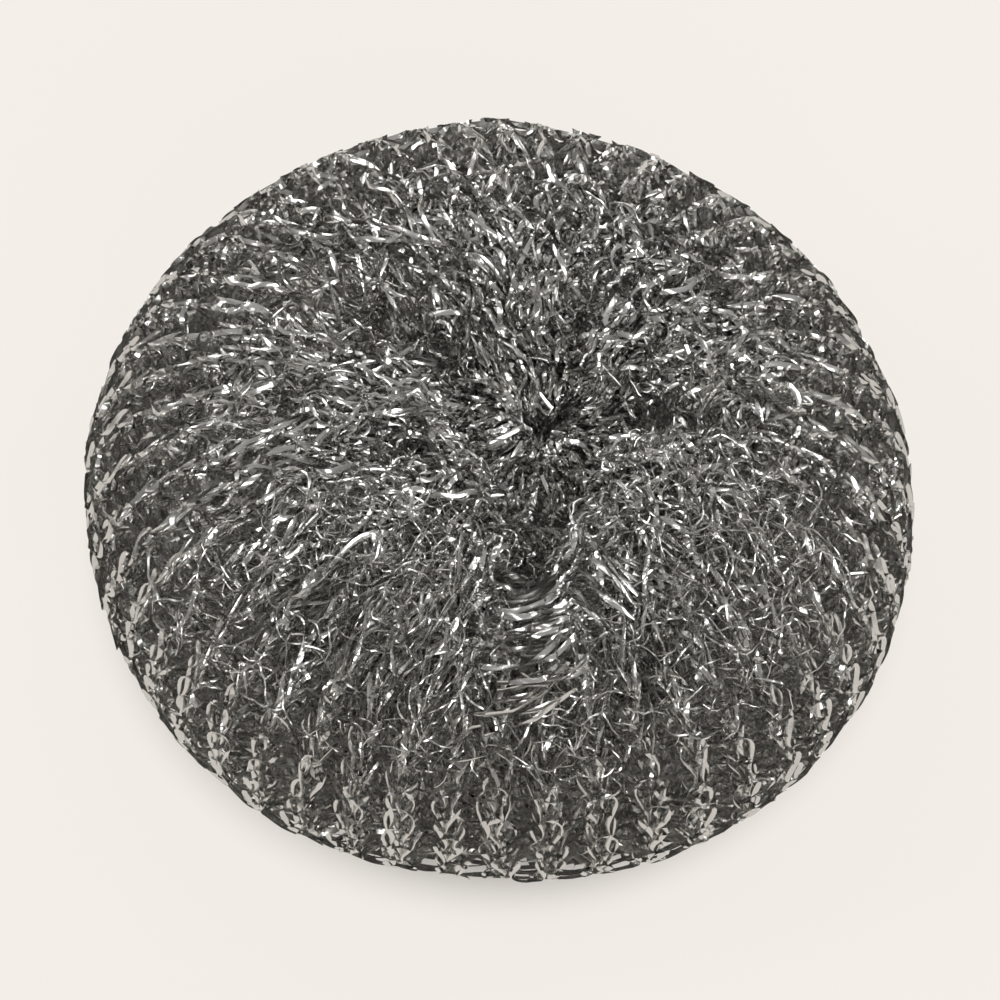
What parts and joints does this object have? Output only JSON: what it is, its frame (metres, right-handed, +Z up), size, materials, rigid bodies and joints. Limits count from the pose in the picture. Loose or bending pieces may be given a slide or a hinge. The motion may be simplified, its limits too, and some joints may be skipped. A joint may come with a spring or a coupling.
{
  "type": "scourer ball",
  "caption": "Flattened ball of knitted flat steel wire, rolled up and gathered at both poles, for scouring pans by hand.",
  "frame": {"origin": "on the surface that the ball rests on, under the middle of the ball", "axes": "+Z up, through the lower and the upper gather; +X along the ball's longest width; +Y away from the side that the front crease runs down"},
  "size_m": [0.0898, 0.0879, 0.045],
  "materials": {
    "steel_wire": "bright flat rolled wire, lightly scratched along its length"
  },
  "bodies": {
    "root": {"knitted_wire_ball": "steel_wire"}
  },
  "joints": []
}
